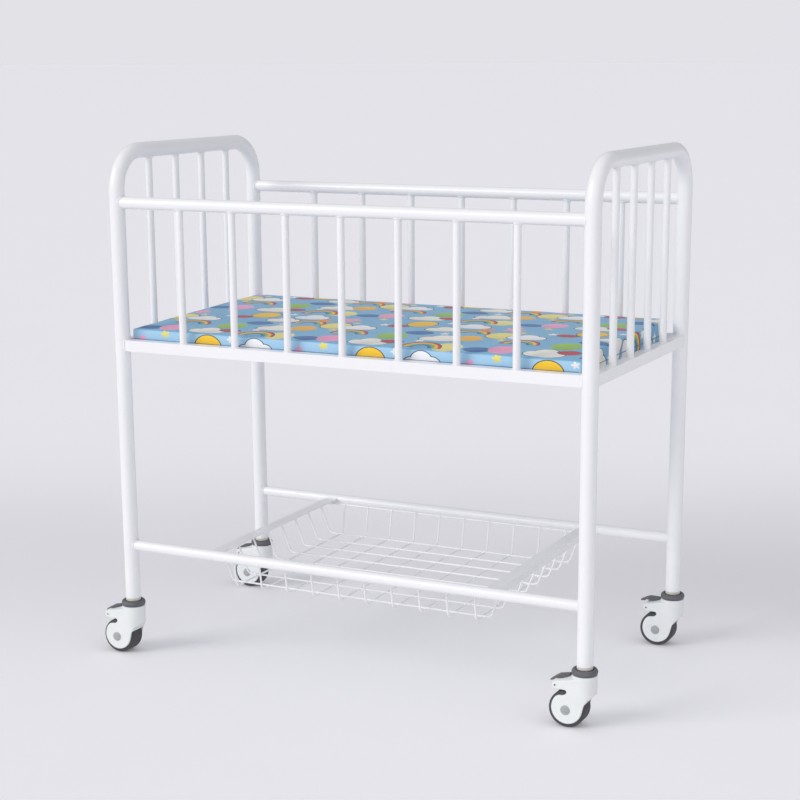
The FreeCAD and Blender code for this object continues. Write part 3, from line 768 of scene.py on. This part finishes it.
def printedCloth():
    facts = printFacts
    cloth = Finish("printedCloth", Sheen_Weight=0.18, Sheen_Roughness=0.5, Specular_IOR_Level=0.3)
    where = cloth.node("ShaderNodeUVMap", {"uv_map": "cloth"})
    u, v = cloth.acrossAndUp(where)

    def line(distance, half):
        return (1.0 - (abs(distance) - half) / facts["edge"]).clamped()

    pastEnd, pastSide = abs(u) - facts["topHalf"][0], abs(v) - facts["topHalf"][1]
    # painted light: where the cloth runs down a long side, its ground is blended toward a paler, front-lit
    # colour
    side = (pastSide / facts["litSideFade"] + 0.5).clamped()
    drift = cloth.noise(where, scale=5.0, detail=2.0)
    colour = cloth.blend(drift, facts["ground"], facts["groundPale"])
    colour = cloth.blend(side * facts["litSideShare"], colour, facts["paintedLitSide"])
    for kind, middle, size, dye in motifs:
        distance, across, up = motifShape(cloth, where, kind, middle, size)
        inside = (0.5 - distance / facts["edge"]).clamped()
        colour = cloth.blend(inside, colour, motifBody(cloth, kind, dye, across, up))
        if kind in facts["inked"]:
            colour = cloth.blend(line(distance, facts["line"] / 2), colour, facts["ink"])
    # painted shadow: a dark line where the gap between the mattress and the rail is in shade
    seam = line(pastEnd.atLeast(pastSide) - facts["gapShadowAt"], facts["gapShadowHalf"])
    colour = cloth.blend(seam * facts["gapShadowShare"], colour, facts["seam"])

    place = cloth.place()
    pitch = fullTurn / facts["thread"]
    weave = (u * pitch).maths("SINE") * (v * pitch).maths("SINE")
    fuzz = cloth.noise(place, scale=1400.0, detail=3.0)
    soft = cloth.noise(place, scale=26.0, detail=3.0)
    lint = cloth.patches(fuzz, start=0.55, steepness=3.0) * facts["lintShare"]
    threads = cloth.bump(weave + fuzz, strength=0.18, distance=0.0003)
    return cloth.feed(Base_Color=cloth.blend(lint, colour, facts["lint"]), Roughness=0.50 + fuzz * 0.2,
                      Normal=cloth.bump(soft, strength=0.25, distance=0.002, under=threads))


mattress = mattressPiece()
mattress.data.materials.clear()
mattress.data.materials.append(printedCloth())
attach(mattress, "mattress")
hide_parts("mattress_cover", "mattress_core")
print("stage: mattress,", len(mattress.data.polygons), "faces")


# Floor, lights and camera

studio = {
    "floorReach": 400.0,
    "shade": 0.12, "shadeBehind": 0.715, "shadeWidth": 0.5,  # soft darker band on the floor behind the cot
    "shadeAcross": (-0.4428, 0.8966),  # direction across the band
    "floor": rgb(242, 241, 245), "glow": 0.112,
    "back": (0.770, 0.760, 0.803),
    "ambient": (0.95, 0.96, 1.0), "ambientStrength": 0.38,
    "zenith": 0.60,  # share by which straight up is brighter
    "key": {"from": (-0.58, -0.68, 0.45), "spread": 32.0, "strength": 1.34, "tint": (1.0, 0.99, 0.975)},
    "front": {"from": (0.25, -0.95, 0.12), "spread": 60.0, "strength": 0.36, "tint": (1.0, 1.0, 1.0)},
    "fill": {"from": (0.75, -0.45, 0.48), "spread": 70.0, "strength": 0.36, "tint": (0.97, 0.98, 1.0)},
}


def paleFloor():
    facts = studio
    ground = Finish("paleFloor", Specular_IOR_Level=0.2, Emission_Strength=facts["glow"])
    place = ground.place()
    x, y = ground.acrossAndUp(place)
    behind = x * facts["shadeAcross"][0] + y * facts["shadeAcross"][1] - facts["shadeBehind"]
    band = behind / facts["shadeWidth"]
    tone = 1.0 - (-0.5 * (band * band)).maths("EXPONENT") * facts["shade"]
    mottle = ground.noise(place, scale=2.0, detail=3.0)
    tint = ground.blend(tone * (0.99 + mottle * 0.02), rgb(0, 0, 0), facts["floor"])
    return ground.feed(Base_Color=tint, Emission_Color=tint, Roughness=0.75 + mottle * 0.1)


reach = studio["floorReach"]
floorCorners = [(-reach, -reach, 0), (reach, -reach, 0), (reach, reach, 0), (-reach, reach, 0)]
floor = newPiece("floor", floorCorners, np.array([[0, 1, 2, 3]]), smooth=False)
floor.data.materials.append(paleFloor())


def lamp(name, facts):
    light = bpy.data.lights.new(name, "SUN")
    light.angle = math.radians(facts["spread"])
    light.energy = facts["strength"]
    light.color = facts["tint"]
    lampObject = bpy.data.objects.new(name, light)
    lampObject.rotation_euler = (-Vector(facts["from"])).to_track_quat("-Z", "Y").to_euler()
    bpy.context.scene.collection.objects.link(lampObject)


for name in ("key", "front", "fill"):
    lamp(name + "Light", studio[name])


def studioRoom():
    # what the lights leave is a glow, brighter towards straight up; the camera sees one even, paler back
    facts = studio
    room = bpy.data.worlds.new("studio")
    room.use_nodes = True
    board = NodeBoard(room.node_tree)
    direction = board.node("ShaderNodeTexCoord", out="Generated")
    upward = board.node("ShaderNodeVectorMath", {"operation": "DOT_PRODUCT"},
                        {0: direction, 1: (0, 0, 1)}, "Value")
    strength = facts["ambientStrength"] * (1.0 + upward.clamped() * facts["zenith"])
    glow = board.node("ShaderNodeBackground", None, {"Color": (*facts["ambient"], 1), "Strength": strength})
    back = board.node("ShaderNodeBackground", None, {"Color": (*facts["back"], 1)})
    seen = board.node("ShaderNodeLightPath", out="Is Camera Ray")
    chosen = board.node("ShaderNodeMixShader", None, {0: seen, 1: glow, 2: back})
    board.output("ShaderNodeOutputWorld", chosen)
    return room


bpy.context.scene.world = studioRoom()
bpy.context.scene.view_settings.view_transform = "Standard"

cameraFacts = {
    "at": (1.4513, -2.8916, 1.1024),
    "yaw": -26.28, "pitch": -13.054, "roll": -0.296,  # degrees
    "frame": 800.0,  # width and height of the frame, in pixels, as the next two are
    "focal": 1765.7,
    "centre": (405.2, 468.1),  # of the lens, across and down the frame
    "sensor": 36.0,  # millimetres
}


def cameraTurn(facts):
    yaw, pitch, roll = (math.radians(facts[name]) for name in ("yaw", "pitch", "roll"))
    look = Vector((math.sin(yaw) * math.cos(pitch), math.cos(yaw) * math.cos(pitch), math.sin(pitch)))
    right = look.cross(Vector((0, 0, 1))).normalized()
    up = right.cross(look)
    rolledRight = math.cos(roll) * right + math.sin(roll) * up
    rolledUp = -math.sin(roll) * right + math.cos(roll) * up
    return Matrix((rolledRight, rolledUp, -look)).transposed().to_4x4()


def studioCamera(facts):
    lens = bpy.data.cameras.new("lens")
    lens.sensor_width = facts["sensor"]
    lens.lens = facts["focal"] / facts["frame"] * facts["sensor"]
    lens.shift_x = 0.5 - facts["centre"][0] / facts["frame"]
    lens.shift_y = facts["centre"][1] / facts["frame"] - 0.5
    lens.clip_start, lens.clip_end = 0.05, 1000.0
    camera = bpy.data.objects.new("camera", lens)
    camera.matrix_world = Matrix.Translation(facts["at"]) @ cameraTurn(facts)
    bpy.context.scene.collection.objects.link(camera)
    return camera


bpy.context.scene.camera = studioCamera(cameraFacts)
print("stage: floor, lights and camera")
